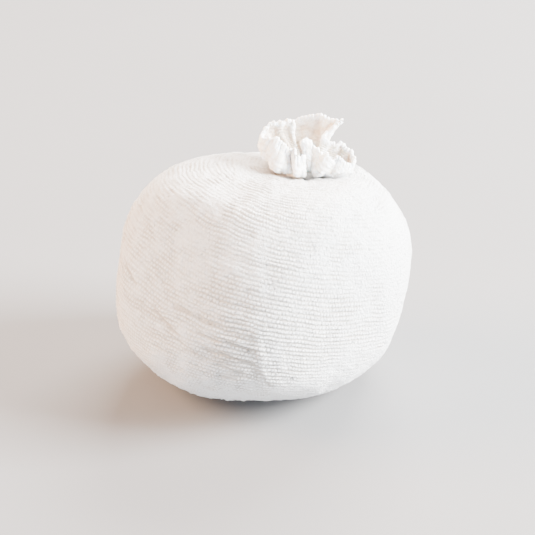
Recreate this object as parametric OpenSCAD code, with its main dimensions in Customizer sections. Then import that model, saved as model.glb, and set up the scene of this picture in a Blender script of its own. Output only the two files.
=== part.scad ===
// Gym chalk ball: a knitted cotton tube filled with chalk powder, tied off at both ends.
// The tube is one cloth. It is drawn here as four nodes: the filled pouch, the gather inside
// the neck tie, the ruffled cut end above it, and the turned-in gather at the bottom.
// Millimetres, +Z up, +X right, -Y front. The origin is under the ball on its rest face.

/* [Ball] */
// Width of the filled ball, left to right
ball_w = 73; // [50:0.1:110]
// Depth of the filled ball, front to back
ball_d = 71.2; // [50:0.1:110]
// Height of the filled ball without its frill
ball_h = 58.4; // [40:0.1:90]
// How crisply the flattened sides meet, higher is crisper
crispness = 18; // [8:1:40]

/* [Cloth] */
// Thickness of the knitted cloth
cloth_t = 0.8; // [0.4:0.1:1.5]
// Gap kept between the cloth and the powder
fill_gap = 0.25; // [0.1:0.05:1]
// Depth of the dimple round the neck
dimple_depth = 3.4; // [0:0.1:6]
// Half width of the dimple, as an angle from the neck axis
dimple_angle = 16; // [8:1:30]

/* [Neck] */
// How far the neck leans to the right
lean_right = 19.6; // [0:0.1:40]
// How far the neck leans to the back
lean_back = 4.6; // [0:0.1:30]
// Distance from the ball's centre up to the mouth of the pouch
mouth_at = 28; // [24:0.1:34]
// Radius of the mouth of the pouch
mouth_r = 4.4; // [4:0.1:8]
// Radius of the gathered cloth inside the tie
gather_r = 3.7; // [2.5:0.1:6]
// Number of pleats in the gather
pleats = 11; // [6:1:20]
// Depth of the pleats where they run out over the ball
pleat_depth = 0.35; // [0:0.05:1]

/* [Tie] */
// Thickness of the tying thread
thread_d = 0.9; // [0.5:0.1:2]
// Turns of thread round the neck
turns = 3; // [1:1:5]
// Length of each cut thread tail
tail_len = 4.5; // [2:0.5:8]

/* [Frill] */
// Thickness of the frill with its coat of chalk
frill_t = 0.8; // [0.4:0.1:1.5]
// Size of the whole frill against its usual size
frill_size = 1; // [0.5:0.05:1.5]
// How far the rim is drawn in between two lobes, 1 is not at all
notch_depth = 0.6; // [0.4:0.05:1]

/* [Bottom end] */
// Length of the turned-in gather
stub_len = 11; // [6:0.5:16]
// Radius of the turned-in gather at its tie
stub_r = 3.4; // [2.5:0.1:6]

/* [Hidden] */

cotton = [0.93, 0.91, 0.87];
thread = [0.90, 0.88, 0.83];
chalk = [0.96, 0.96, 0.95];

// The grids that the cloth and powder surfaces are drawn on.
sectors = 66;
rows = 36;
fill_sectors = 44;
fill_rows = 22;
frill_sectors = 98;
frill_rows = 7;

// Half sizes of the round ball before its sides are flattened.
round_half = [38.8, 36.6, 37];
usual_size = [73, 71.2, 58.4];
size_k = [ball_w / usual_size[0], ball_d / usual_size[1], ball_h / usual_size[2]];

// Sides flattened in the hand: an outward direction and a distance from the centre.
flats = [
    [0.02, 0.00, 1.00, 30.4],    // crown
    [-0.22, 0.42, 0.87, 33.1],   // back of the crown
    [0.06, 0.44, 0.90, 31.6],    // behind the neck
    [-0.66, 0.26, 0.70, 38.1],   // left shoulder
    [0.74, 0.24, 0.62, 39.0],    // right shoulder
    [-0.95, 0.12, 0.10, 36.1],   // left side
    [-0.74, -0.28, -0.56, 39.0], // lower left
    [-0.50, -0.42, -0.76, 35.6], // lower left front
    [0.00, -0.55, -0.84, 31.4],  // lower front
    [0.46, -0.46, -0.76, 34.2],  // lower right front
    [0.62, -0.38, -0.68, 36.6],  // lower right
    [0.97, -0.10, -0.22, 35.4],  // right side
    [0.52, -0.83, -0.08, 34.4],  // right front
    [-0.55, -0.72, 0.42, 34.6],  // left front
    [0.10, 0.97, 0.15, 34.6]     // back
];
floor_at = 28;
centre = [-0.14, 0.76, floor_at * size_k[2]];

// The neck's axis, and two directions square to it: right, then back.
axis = unit([sin(lean_right), sin(lean_back), 1 - 0.5 * (pow(sin(lean_right), 2) + pow(sin(lean_back), 2))]);
side = unit([1, 0, 0] - axis[0] * axis);
back = cross(axis, side);

// Each lobe of the frill: where it starts round the axis, its reach and its rise.
lobes = [
    [-30, 11.0, 7.0],   // right
    [18, 7.6, 12.6],    // leaf tip
    [55, 7.6, 12.2],    // back leaf
    [110, 9.8, 9.0],    // back left
    [152, 12.8, 1.4],   // left
    [205, 8.6, 0.4],    // front left
    [262, 8.6, 1.6]     // front right
];

tie_lo = mouth_at + 0.7;
pitch = 0.86 * thread_d;
frill_at = tie_lo + thread_d + pitch * (turns - 1) + 0.15;
wound_r = gather_r + thread_d / 2 + 0.06;
stub_at = 25.6;
stub_tie = stub_at - 4.6;

function unit(v) = v / norm(v);
function total(v) = [for (x = v) 1] * v;
function dir(t, a) = sin(t) * (cos(a) * side + sin(a) * back) + cos(t) * axis;
function round_r(u) = 1 / norm([u[0] / round_half[0], u[1] / round_half[1], u[2] / round_half[2]]);
function flat_push(u, f) = pow(max(0, u * unit([f[0], f[1], f[2]])) / f[3], crispness);
function soft_r(u) = pow(pow(round_r(u), -crispness) + total([for (f = flats) flat_push(u, f)]), -1 / crispness);
function floor_r(u) = u[2] < -0.01 ? -floor_at / u[2] : 1000;
function soft_min(a, b, k) = pow(pow(a, -k) + pow(b, -k), -1 / k);
function bell(t, w) = exp(-pow(t / w, 2));
function ball_r(u) = min(soft_min(soft_r(u), 1.012 * floor_r(u), 14), floor_r(u));

// One point of the cloth: t is the angle from the neck, a goes round it, inset is inward.
function pleat(t, a) = pleat_depth * bell(t - 9, 7) * cos(pleats * a);
function dimples(t) = dimple_depth * bell(t, dimple_angle) + 1.1 * bell(180 - t, 5);
function cloth_r(t, a) = ball_r(dir(t, a)) - dimples(t) + pleat(t, a);
function grow(p) = [p[0] * size_k[0], p[1] * size_k[1], p[2] * size_k[2]];
function sit(p) = [p[0], p[1], abs(p[2]) < 0.002 ? 0 : p[2]];
function cloth_p(t, a, inset) = sit(centre + grow((cloth_r(t, a) - inset) * dir(t, a)));
function neck_p(a, r, h) = centre + grow(h * axis) + r * (cos(a) * side + sin(a) * back);

function ring(n, i, k) = 1 + i * n + (k % n);
function skin(m, n) = [
    for (i = [0 : m - 2], k = [0 : n - 1])
        each [
            [ring(n, i, k), ring(n, i + 1, k), ring(n, i + 1, k + 1)],
            [ring(n, i, k), ring(n, i + 1, k + 1), ring(n, i, k + 1)]
        ]
];
function first_cap(n) = [for (k = [0 : n - 1]) [0, ring(n, 0, k), ring(n, 0, k + 1)]];
function last_cap(m, n) = [for (k = [0 : n - 1]) [1 + m * n, ring(n, m - 1, k + 1), ring(n, m - 1, k)]];

// A closed skin over a stack of rings, with a point at each end.
module stack(first, rings, last) {
    n = len(rings[0]);
    m = len(rings);
    points = concat([first], [for (r = rings) each r], [last]);
    faces = concat(first_cap(n), skin(m, n), last_cap(m, n));
    polyhedron(points = points, faces = faces, convexity = 6);
}

function turn(n, k) = 360 * k / n;
mouth_t = asin(mouth_r / mouth_at);
inner_mouth_t = asin((mouth_r + 0.2) / mouth_at);
function row_t(i) = 180 - (180 - mouth_t) * i / rows;
function inner_row_t(i) = inner_mouth_t + (180 - inner_mouth_t) * i / rows;

module pouch() {
    outside = [
        for (i = [1 : rows]) [for (k = [0 : sectors - 1]) cloth_p(row_t(i), turn(sectors, k), 0)]
    ];
    inside = [
        for (i = [0 : rows - 1])
            [for (k = [0 : sectors - 1]) cloth_p(inner_row_t(i), turn(sectors, k), cloth_t)]
    ];
    color(cotton)
        stack(cloth_p(180, 0, 0), concat(outside, inside), cloth_p(180, 0, cloth_t));
}

function fluted(r, depth, n, a) = r + depth * cos(n * a);

module neck_gather() {
    n = 6 * pleats;
    waist = gather_r - 0.25;
    steps = [
        [mouth_at - 1.6, mouth_r - 0.75],
        [mouth_at - 0.4, mouth_r - 0.55],
        [tie_lo - 0.3, gather_r + 0.1],
        [tie_lo, waist],
        [frill_at - 0.35, waist],
        [frill_at - 0.1, waist]
    ];
    color(cotton)
        stack(
            neck_p(0, 0, steps[0][0]),
            [for (s = steps) [for (k = [0 : n - 1]) neck_p(turn(n, k), fluted(s[1], 0.2, pleats, turn(n, k)), s[0])]],
            neck_p(0, 0, steps[5][0])
        );
}

// The frill: which lobe an angle falls in, and how far across that lobe it is.
lobe_count = len(lobes);
function lobe_end(j) = j + 1 < lobe_count ? lobes[j + 1][0] : lobes[0][0] + 360;
function lobe_of(a) = max([for (j = [0 : lobe_count - 1]) a >= lobes[j][0] ? j : 0]);
function across(a, j) = (a - lobes[j][0]) / (lobe_end(j) - lobes[j][0]);
function swell(x) = pow(0.5 - 0.5 * cos(360 * x), 0.7);
function neighbour(j, x) = x < 0.5 ? (j + lobe_count - 1) % lobe_count : (j + 1) % lobe_count;
function between(j, x, c) = 0.5 * (lobes[j][c] + lobes[neighbour(j, x)][c]);
function rim_reach(j, x) = let (w = swell(x)) w * lobes[j][1] + (1 - w) * notch_depth * between(j, x, 1);
function rim_rise(j, x) = let (w = swell(x)) w * lobes[j][2] + (1 - w) * (1.5 + 0.8 * between(j, x, 2));
function bow(a, b, c, v) = (1 - v) * (1 - v) * a + 2 * v * (1 - v) * b + v * v * c;
function slope(a, b, c, v) = 2 * (1 - v) * (b - a) + 2 * v * (c - b);
function frill_p(a, v, off) =
    let (
        j = lobe_of(a),
        x = across(a, j),
        reach = frill_size * rim_reach(j, x),
        rise = frill_size * rim_rise(j, x),
        base = gather_r - 0.75,
        r = bow(base, gather_r, reach, v),
        h = bow(0, 0.45 * max(rise, 0) + 3, rise, v),
        dr = slope(base, gather_r, reach, v),
        dh = slope(0, 0.45 * max(rise, 0) + 3, rise, v),
        g = sqrt(dr * dr + dh * dh)
    )
    centre + grow(frill_at * axis) + (r + off * dh / g) * (cos(a) * side + sin(a) * back) + (h - off * dr / g) * axis;

module frill() {
    n = frill_sectors;
    m = 2 * frill_rows + 2;
    points = [
        for (i = [0 : m - 1], k = [0 : n - 1])
            let (
                v = i <= frill_rows ? i / frill_rows : (m - 1 - i) / frill_rows,
                a = lobes[0][0] + turn(n, k)
            )
            frill_p(a, v, i <= frill_rows ? frill_t / 2 : -frill_t / 2)
    ];
    faces = [
        for (i = [0 : m - 1], k = [0 : n - 1])
            let (a = i * n, b = ((i + 1) % m) * n, c = (k + 1) % n)
            each [[a + k, a + c, b + c], [a + k, b + c, b + k]]
    ];
    color(cotton) polyhedron(points = points, faces = [for (f = faces) [f[0], f[2], f[1]]], convexity = 10);
}

// Places children in the neck's own frame: Z along the neck, X to the right.
module on_neck(h) {
    o = centre + grow(h * axis);
    multmatrix([
        [side[0], back[0], axis[0], o[0]],
        [side[1], back[1], axis[1], o[1]],
        [side[2], back[2], axis[2], o[2]],
        [0, 0, 0, 1]
    ])
        children();
}

module loop_of_thread(r) {
    rotate_extrude($fn = 64) translate([r, 0]) circle(d = thread_d, $fn = 24);
}

module knot(r, tail) {
    rotate([0, 0, 105]) {
        translate([r + 0.35, 0, 0]) sphere(r = 1.15 * thread_d, $fn = 32);
        for (s = [-1, 1])
            translate([r + 0.7, 0, 0])
                rotate([s * 52, 68, 0]) {
                    cylinder(d = 0.9 * thread_d, h = tail, $fn = 24);
                    translate([0, 0, tail]) sphere(d = 0.9 * thread_d, $fn = 24);
                }
    }
}

module neck_tie() {
    color(thread)
        on_neck(tie_lo + thread_d / 2) {
            for (i = [0 : turns - 1])
                translate([0, 0, i * pitch]) loop_of_thread(wound_r);
            translate([0, 0, pitch * (turns - 1) / 2]) knot(wound_r, tail_len);
        }
}

function stub_fluted(s, a) = fluted(s[1], s[2], pleats, a);

module bottom_gather() {
    n = 6 * pleats;
    steps = [
        [stub_at, stub_r + 1.3, 0.15],
        [stub_at - 2.2, stub_r + 0.5, 0.2],
        [stub_tie + 0.9, stub_r - 0.2, 0.2],
        [stub_tie - 0.9, stub_r - 0.2, 0.2],
        [stub_tie - 2.6, stub_r + 1.2, 0.6],
        [stub_at - stub_len, stub_r + 2.4, 1.0]
    ];
    color(cotton)
        stack(
            neck_p(0, 0, -steps[0][0]),
            [for (s = steps) [for (k = [0 : n - 1]) neck_p(turn(n, k), stub_fluted(s, turn(n, k)), -s[0])]],
            neck_p(0, 0, -steps[5][0])
        );
}

module bottom_tie() {
    color(thread)
        on_neck(-stub_tie)
            for (i = [-0.5, 0.5])
                translate([0, 0, i * pitch]) loop_of_thread(stub_r + thread_d / 2 + 0.08);
}

// The powder fills the pouch and leaves a socket round the turned-in gather.
module chalk_fill() {
    inset = cloth_t + fill_gap;
    socket_r = stub_r + 3.9;
    socket_t = asin(socket_r / 27);
    span = 180 - socket_t - mouth_t;
    shell = [
        for (i = [0 : fill_rows])
            [
                for (k = [0 : fill_sectors - 1])
                    cloth_p(mouth_t + span * i / fill_rows, turn(fill_sectors, k), inset)
            ]
    ];
    top = mouth_at - 1.6 - 0.3;
    lid = [for (k = [0 : fill_sectors - 1]) neck_p(turn(fill_sectors, k), 3, top)];
    socket = [for (k = [0 : fill_sectors - 1]) neck_p(turn(fill_sectors, k), socket_r, -(stub_at - stub_len - 0.4))];
    color(chalk)
        stack(
            neck_p(0, 0, top),
            concat([lid], shell, [socket]),
            neck_p(0, 0, -(stub_at - stub_len - 0.4))
        );
}

pouch();
neck_gather();
frill();
neck_tie();
bottom_gather();
bottom_tie();
chalk_fill();
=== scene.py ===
import math

import bpy
import numpy as np
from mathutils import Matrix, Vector


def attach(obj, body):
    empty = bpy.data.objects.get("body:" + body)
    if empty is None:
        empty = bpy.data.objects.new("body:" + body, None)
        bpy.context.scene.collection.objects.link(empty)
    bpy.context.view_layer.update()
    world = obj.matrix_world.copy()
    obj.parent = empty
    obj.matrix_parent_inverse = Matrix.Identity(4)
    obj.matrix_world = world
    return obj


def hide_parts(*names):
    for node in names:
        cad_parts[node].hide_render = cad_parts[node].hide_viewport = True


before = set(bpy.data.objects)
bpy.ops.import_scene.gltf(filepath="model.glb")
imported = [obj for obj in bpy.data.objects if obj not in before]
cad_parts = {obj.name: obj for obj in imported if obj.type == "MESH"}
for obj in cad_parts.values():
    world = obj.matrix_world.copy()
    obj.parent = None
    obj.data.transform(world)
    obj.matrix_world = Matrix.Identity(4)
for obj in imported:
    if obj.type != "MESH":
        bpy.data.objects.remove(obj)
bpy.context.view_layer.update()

MM = 0.001

# ---------------------------------------------------------------------------
# The ball's own form, the same formula as the CAD model's, in millimetres.
# ---------------------------------------------------------------------------
ROUND_HALF = np.array([38.8, 36.6, 37.0])
CRISP = 18
FLOOR_AT = 28.0
# How softly the side rolls under to the rest face: a power, and a share of the way past it.
FLOOR_BLEND, FLOOR_EASE = 14.0, 1.012
# Sides flattened in the hand: an outward direction and a distance from the centre. The directions
# were chosen, and the distances were fitted to the photo's outline.
FLATS = [
    ((0.02, 0.00, 1.00), 30.4),  # crown
    ((-0.22, 0.42, 0.87), 33.1),  # back of the crown
    ((0.06, 0.44, 0.90), 31.6),  # behind the neck
    ((-0.66, 0.26, 0.70), 38.1),  # left shoulder
    ((0.74, 0.24, 0.62), 39.0),  # right shoulder
    ((-0.95, 0.12, 0.10), 36.1),  # left side
    ((-0.74, -0.28, -0.56), 39.0),  # lower left
    ((-0.50, -0.42, -0.76), 35.6),  # lower left front
    ((0.00, -0.55, -0.84), 31.4),  # lower front
    ((0.46, -0.46, -0.76), 34.2),  # lower right front
    ((0.62, -0.38, -0.68), 36.6),  # lower right
    ((0.97, -0.10, -0.22), 35.4),  # right side
    ((0.52, -0.83, -0.08), 34.4),  # right front
    ((-0.55, -0.72, 0.42), 34.6),  # left front
    ((0.10, 0.97, 0.15), 34.6),  # back
]
CENTRE = np.array([-0.14, 0.76, FLOOR_AT])
MOUTH_AT, MOUTH_R = 28.0, 4.4
CLOTH_T = 0.8
# Dimples at the two tied ends: depth, and half width in degrees from the neck's axis.
NECK_DIMPLE = (3.4, 16)
BASE_DIMPLE = (1.1, 5)
# The ball's mean radius, which turns an angle at its centre into a length on the cloth.
MEAN_R = 35.0


def unit(v):
    v = np.asarray(v, float)
    return v / np.linalg.norm(v, axis=-1, keepdims=True)


LEAN_R, LEAN_B = math.sin(math.radians(19.6)), math.sin(math.radians(4.6))
AXIS = unit([LEAN_R, LEAN_B, 1 - 0.5 * (LEAN_R**2 + LEAN_B**2)])
SIDE = unit(np.array([1.0, 0, 0]) - AXIS[0] * AXIS)
BACK = np.cross(AXIS, SIDE)


def direction(t, a):
    """Unit vectors at angle t from the neck's axis and a round it, both in radians."""
    t, a = np.asarray(t)[..., None], np.asarray(a)[..., None]
    return np.sin(t) * (np.cos(a) * SIDE + np.sin(a) * BACK) + np.cos(t) * AXIS


def ball_radius(u):
    """The ball's radius along u before the neck's dimple."""
    s = np.linalg.norm(u / ROUND_HALF, axis=-1) ** CRISP
    for n, d in FLATS:
        s = s + (np.maximum(0, u @ unit(n)) / d) ** CRISP
    r = s ** (-1 / CRISP)
    down = np.where(u[..., 2] < -0.01, FLOOR_AT / np.maximum(0.01, -u[..., 2]), 1e3)
    soft = (r**-FLOOR_BLEND + (FLOOR_EASE * down) ** -FLOOR_BLEND) ** (-1 / FLOOR_BLEND)
    return np.minimum(soft, down)


def bell(x, w):
    """1 at x = 0, falling off smoothly over the width w."""
    return np.exp(-((x / w) ** 2))


def cloth_radius(t, a):
    """The pouch's radius with the dimples at its two tied ends."""
    deg = np.degrees(t)
    dimple = NECK_DIMPLE[0] * bell(deg, NECK_DIMPLE[1]) + BASE_DIMPLE[0] * bell(180 - deg, BASE_DIMPLE[1])
    return ball_radius(direction(t, a)) - dimple


def neck_point(a, r, h):
    """A point at radius r and height h along the neck's axis from the ball's centre."""
    a, r, h = np.asarray(a)[..., None], np.asarray(r)[..., None], np.asarray(h)[..., None]
    return CENTRE + h * AXIS + r * (np.cos(a) * SIDE + np.sin(a) * BACK)


# ---------------------------------------------------------------------------
# Repeatable noise, and small helpers.
# ---------------------------------------------------------------------------
def lattice(i, j, k, seed):
    """A repeatable number from 0 to 1 for each lattice point."""
    h = (i * 73856093) ^ (j * 19349663) ^ (k * 83492791) ^ (seed * 2654435761)
    h = (h ^ (h >> 13)) * 1274126177
    h = h ^ (h >> 16)
    return (h & 0xFFFFFF) / float(0xFFFFFF)


def noise(p, size, seed=0):
    """Smooth noise from -1 to 1 with lumps about size across."""
    q = np.asarray(p) / size + 100.0
    c = np.floor(q).astype(np.int64)
    f = q - c
    f = f * f * f * (f * (f * 6 - 15) + 10)
    out = 0
    for dx in (0, 1):
        for dy in (0, 1):
            for dz in (0, 1):
                w = (f[..., 0] if dx else 1 - f[..., 0]) * (f[..., 1] if dy else 1 - f[..., 1])
                w = w * (f[..., 2] if dz else 1 - f[..., 2])
                out = out + w * lattice(c[..., 0] + dx, c[..., 1] + dy, c[..., 2] + dz, seed)
    return out * 2 - 1


def cloud(p, size, seed=0, steps=3):
    """Several sizes of noise added together."""
    total, amp, norm = 0, 1.0, 0
    for k in range(steps):
        total = total + amp * noise(p, size / 2**k, seed + 17 * k)
        norm += amp
        amp *= 0.5
    return total / norm


def ease(x, lo, hi):
    """0 below lo, 1 above hi, and smooth between."""
    x = np.clip((x - lo) / (hi - lo), 0, 1)
    return x * x * (3 - 2 * x)


def normals_of(grid):
    """Outward normals of a closed grid of points [row, column], rows running from the neck down."""
    down = np.gradient(grid, axis=0)
    round_ = (np.roll(grid, -1, axis=1) - np.roll(grid, 1, axis=1)) / 2
    n = np.cross(down, round_)
    return n / np.maximum(1e-9, np.linalg.norm(n, axis=-1, keepdims=True))


# How far in mm a fold lies below the cloth round it when it counts as deep.
DEEP_FOLD = 0.9


def hollow(grid, n, wide, tall):
    """How hollow a surface is against the cloth round it: 1 in a deep fold, -1 on a ridge."""
    soft = grid
    for _ in range(2):
        soft = sum(np.roll(soft, k, 1) for k in range(-wide, wide + 1)) / (2 * wide + 1)
        pad = np.pad(soft, ((tall, tall), (0, 0), (0, 0)), mode="edge")
        soft = sum(pad[k : k + len(grid)] for k in range(2 * tall + 1)) / (2 * tall + 1)
    return np.clip(np.sum((soft - grid) * n, -1) / DEEP_FOLD, -1, 1)


def make_mesh(name, points, faces):
    """A smooth-shaded object from points in mm."""
    me = bpy.data.meshes.new(name)
    me.from_pydata([tuple(p) for p in (np.asarray(points) * MM).tolist()], [], faces)
    me.validate()
    me.shade_smooth()
    ob = bpy.data.objects.new(name, me)
    bpy.context.scene.collection.objects.link(ob)
    return ob


def set_values(ob, name, values, domain="POINT"):
    """Stores one number for each point or face corner, for the material to read."""
    attribute = ob.data.attributes.new(name, "FLOAT", domain)
    attribute.data.foreach_set("value", np.asarray(values, np.float32).reshape(-1))


def grid_faces(rows, cols, base=0, flip=False):
    """The faces of a grid of points that closes on itself along each row."""
    out = []
    for i in range(rows - 1):
        for k in range(cols):
            a = base + i * cols + k
            b = base + i * cols + (k + 1) % cols
            q = (a, a + cols, b + cols, b)
            out.append(q[::-1] if flip else q)
    return out


def fan(first, cols, tip, flip=False):
    """Triangles that close the ring of points starting at first, toward the point tip."""
    out = [(first + k, first + (k + 1) % cols, tip) for k in range(cols)]
    return [q[::-1] for q in out] if flip else out


# ---------------------------------------------------------------------------
# Materials.
# ---------------------------------------------------------------------------
class Nodes:
    """Short names for building one node material."""

    def __init__(self, name, color, rough, sheen=0.0, spec=0.25, subsurface=0.0):
        self.mat = bpy.data.materials.new(name)
        self.mat.use_nodes = True
        self.mat.diffuse_color = (*color, 1)
        self.tree = self.mat.node_tree
        self.bsdf = self.tree.nodes["Principled BSDF"]
        self.bsdf.inputs["Roughness"].default_value = rough
        self.bsdf.inputs["Sheen Weight"].default_value = sheen
        self.bsdf.inputs["Sheen Roughness"].default_value = 0.6
        self.bsdf.inputs["Specular IOR Level"].default_value = spec
        self.bsdf.inputs["Subsurface Weight"].default_value = subsurface
        self.bsdf.inputs["Subsurface Radius"].default_value = (1.0, 0.8, 0.62)
        self.bsdf.inputs["Subsurface Scale"].default_value = 1.6 * MM
        self.coord = self.new("ShaderNodeTexCoord").outputs["Object"]

    def new(self, kind, **props):
        n = self.tree.nodes.new(kind)
        for k, v in props.items():
            setattr(n, k, v)
        return n

    def put(self, socket, value):
        if isinstance(value, bpy.types.NodeSocket):
            self.tree.links.new(value, socket)
        elif value is not None:
            socket.default_value = value

    def math(self, op, a, b=None, c=None, clamp=False):
        n = self.new("ShaderNodeMath", operation=op, use_clamp=clamp)
        for s, v in zip(n.inputs, (a, b, c)):
            self.put(s, v)
        return n.outputs[0]

    def noise(self, size_mm, detail=2.0, rough=0.5):
        n = self.new("ShaderNodeTexNoise")
        self.put(n.inputs["Vector"], self.coord)
        n.inputs["Scale"].default_value = 1 / (size_mm * MM)
        n.inputs["Detail"].default_value = detail
        n.inputs["Roughness"].default_value = rough
        return n.outputs["Fac"]

    def spots(self, size_mm):
        n = self.new("ShaderNodeTexVoronoi", feature="F1")
        self.put(n.inputs["Vector"], self.coord)
        n.inputs["Scale"].default_value = 1 / (size_mm * MM)
        return n.outputs["Distance"]

    def range(self, value, lo, hi, to_lo=0.0, to_hi=1.0):
        n = self.new("ShaderNodeMapRange", interpolation_type="SMOOTHSTEP")
        for s, v in zip(n.inputs, (value, lo, hi, to_lo, to_hi)):
            self.put(s, v)
        return n.outputs[0]

    def mix(self, fac, a, b):
        n = self.new("ShaderNodeMix", data_type="RGBA")
        self.put(n.inputs["Factor"], fac)
        for s, v in ((n.inputs[6], a), (n.inputs[7], b)):
            self.put(s, v if isinstance(v, bpy.types.NodeSocket) else (*v, 1))
        return n.outputs[2]

    def attribute(self, name):
        n = self.new("ShaderNodeAttribute", attribute_type="GEOMETRY", attribute_name=name)
        return n.outputs["Fac"]

    def bump(self, height, depth_mm, strength=1.0, under=None):
        n = self.new("ShaderNodeBump")
        n.inputs["Strength"].default_value = strength
        n.inputs["Distance"].default_value = depth_mm * MM
        self.put(n.inputs["Height"], height)
        self.put(n.inputs["Normal"], under)
        return n.outputs[0]

    def rows(self, course):
        """1 on the crown of a knitted row, 0 in the gap between two rows."""
        turn = self.math("MULTIPLY", course, 2 * math.pi)
        return self.math("MULTIPLY_ADD", self.math("COSINE", turn), -0.5, 0.5)

    def finish(self, color, normal=None):
        self.put(self.bsdf.inputs["Base Color"], color)
        self.put(self.bsdf.inputs["Normal"], normal)
        return self.mat


COTTON = (0.80, 0.765, 0.70)
# Bare cotton, darkened further with painted shade for the creases and the gaps between rows.
COTTON_BARE_AND_SHADED = (0.56, 0.495, 0.425)
CHALK = (0.90, 0.89, 0.87)
CHALK_DARK, CHALK_LIGHT = (0.84, 0.835, 0.82), (0.93, 0.93, 0.925)
# The bare cut end: between its rows, darker as bare cotton and as painted shade; on its rows; and in its
# folds, painted shade.
CUT_GAP, CUT_ROW, CUT_FOLD_SHADE = (0.62, 0.54, 0.44), (0.80, 0.75, 0.66), (0.60, 0.50, 0.40)
THREAD, THREAD_DARK, THREAD_LIGHT = (0.78, 0.75, 0.69), (0.62, 0.58, 0.50), (0.82, 0.79, 0.73)
FLOOR, FLOOR_DARK, FLOOR_LIGHT = (0.5, 0.48, 0.46), (0.160, 0.155, 0.152), (0.170, 0.165, 0.162)


def knit_material():
    """Chalk-dusted stockinette: rows of small loops, filled in where powder has caked, with painted shade
    in its creases and wrinkles.
    """
    m = Nodes("cotton_knit_dusted", COTTON, 0.93, sheen=0.12, spec=0.18)
    course, wale, dust, painted_shade = (m.attribute(k) for k in ("course", "wale", "dust", "painted_shade"))
    row_soft = m.math("POWER", m.rows(course), 0.6)
    # Loops along a row, shifted a little from row to row.
    wander = m.math("MULTIPLY", m.noise(2.6, 1.0), 0.9)
    shift = m.math("MULTIPLY", m.math("FLOOR", course), 0.37)
    place = m.math("ADD", m.math("ADD", wale, shift), wander)
    wave = m.math("COSINE", m.math("MULTIPLY", place, math.pi))
    gap = m.math("POWER", m.math("ABSOLUTE", wave), 7.0)
    loop = m.math("SUBTRACT", 1.0, m.math("MULTIPLY", gap, 0.75))
    knit = m.math("MULTIPLY", row_soft, loop)
    clear = m.math("SUBTRACT", 1.0, dust, clamp=True)
    grain = m.noise(0.55, 3.0, 0.7)
    cake = m.noise(1.5, 2.0, 0.55)
    dots = m.range(m.spots(1.1), 0.0, 0.30, 1.0, 0.0)
    crumb = m.math("MULTIPLY", dots, m.range(m.noise(3.1, 1.0), 0.50, 0.62))
    pit = m.range(grain, 0.30, 0.46, 1.0, 0.0)
    # Powder lies on the crowns and leaves bare cotton in the gaps and pin holes, which show darker; the
    # gaps also carry painted shade, and the creases are darkened with painted shade.
    shade = m.math("MULTIPLY", m.math("SUBTRACT", 1.0, knit), m.math("MULTIPLY_ADD", clear, 0.85, 0.14))
    shade = m.math("ADD", shade, m.math("MULTIPLY", pit, 0.36))
    # Painted shade in the pressed creases and the valleys of tugged wrinkles.
    shade = m.math("ADD", shade, painted_shade)
    shade = m.math("SUBTRACT", shade, m.math("MULTIPLY", crumb, 0.5), clamp=True)
    color = m.mix(shade, CHALK, COTTON_BARE_AND_SHADED)
    height = m.math("MULTIPLY", knit, m.math("MULTIPLY_ADD", clear, 0.85, 0.15))
    n = m.bump(height, 0.34, 1.0)
    caked = m.math("ADD", m.math("MULTIPLY", cake, 0.8), m.math("MULTIPLY", crumb, 1.2))
    n = m.bump(caked, 0.62, 1.0, n)
    n = m.bump(m.math("MULTIPLY", grain, m.math("MULTIPLY_ADD", dust, 0.5, 0.85)), 1.05, 1.0, n)
    return m.finish(color, n)


def frill_material():
    """The same cloth at its cut end: finer rows, a thicker, whiter coat of chalk, and painted shade in its
    folds and hollow middle.
    """
    m = Nodes("cotton_knit_cut_end", CHALK, 0.94, sheen=0.12, spec=0.18, subsurface=0.4)
    course, edge, painted_shade = (m.attribute(k) for k in ("course", "edge", "painted_shade"))
    row = m.rows(course)
    grain = m.noise(0.5, 3.0, 0.65)
    cake = m.noise(1.4, 2.0, 0.6)
    coat = m.math("MAXIMUM", m.range(cake, 0.36, 0.62), edge)
    color = m.mix(m.math("MULTIPLY_ADD", coat, 0.75, 0.12), m.mix(row, CUT_GAP, CUT_ROW), CHALK)
    # Painted shade in the folds and in the hollow middle.
    color = m.mix(m.range(painted_shade, -0.12, 0.40, 0.0, 0.95), color, CUT_FOLD_SHADE)
    n = m.bump(m.math("MULTIPLY", row, m.math("SUBTRACT", 1.1, coat)), 0.12, 0.8)
    n = m.bump(cake, 0.36, 1.0, n)
    n = m.bump(grain, 0.30, 1.0, n)
    return m.finish(color, n)


def thread_material():
    """Twisted cotton thread with powder rubbed into it."""
    m = Nodes("cotton_thread_dusted", THREAD, 0.9, sheen=0.2, spec=0.2)
    fleck = m.noise(0.35, 3.0, 0.6)
    coat = m.range(m.noise(1.1, 2.0, 0.6), 0.4, 0.62)
    color = m.mix(coat, m.mix(fleck, THREAD_DARK, THREAD_LIGHT), CHALK)
    return m.finish(color, m.bump(fleck, 0.06, 0.8))


def chalk_material():
    """Loose powder with soft lumps."""
    m = Nodes("chalk_powder", CHALK, 0.97, spec=0.12)
    grain = m.noise(0.35, 4.0, 0.7)
    lump = m.noise(2.2, 3.0, 0.6)
    color = m.mix(m.range(lump, 0.35, 0.7), CHALK_DARK, CHALK_LIGHT)
    n = m.bump(lump, 0.3, 0.7)
    return m.finish(color, m.bump(grain, 0.08, 0.9, n))


def floor_material():
    """A plain matte table top."""
    m = Nodes("pale_floor", FLOOR, 0.75, spec=0.2)
    return m.finish(m.mix(m.noise(60, 2.0), FLOOR_DARK, FLOOR_LIGHT))


MAT_KNIT = knit_material()
MAT_FRILL = frill_material()
MAT_THREAD = thread_material()
MAT_CHALK = chalk_material()


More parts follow.
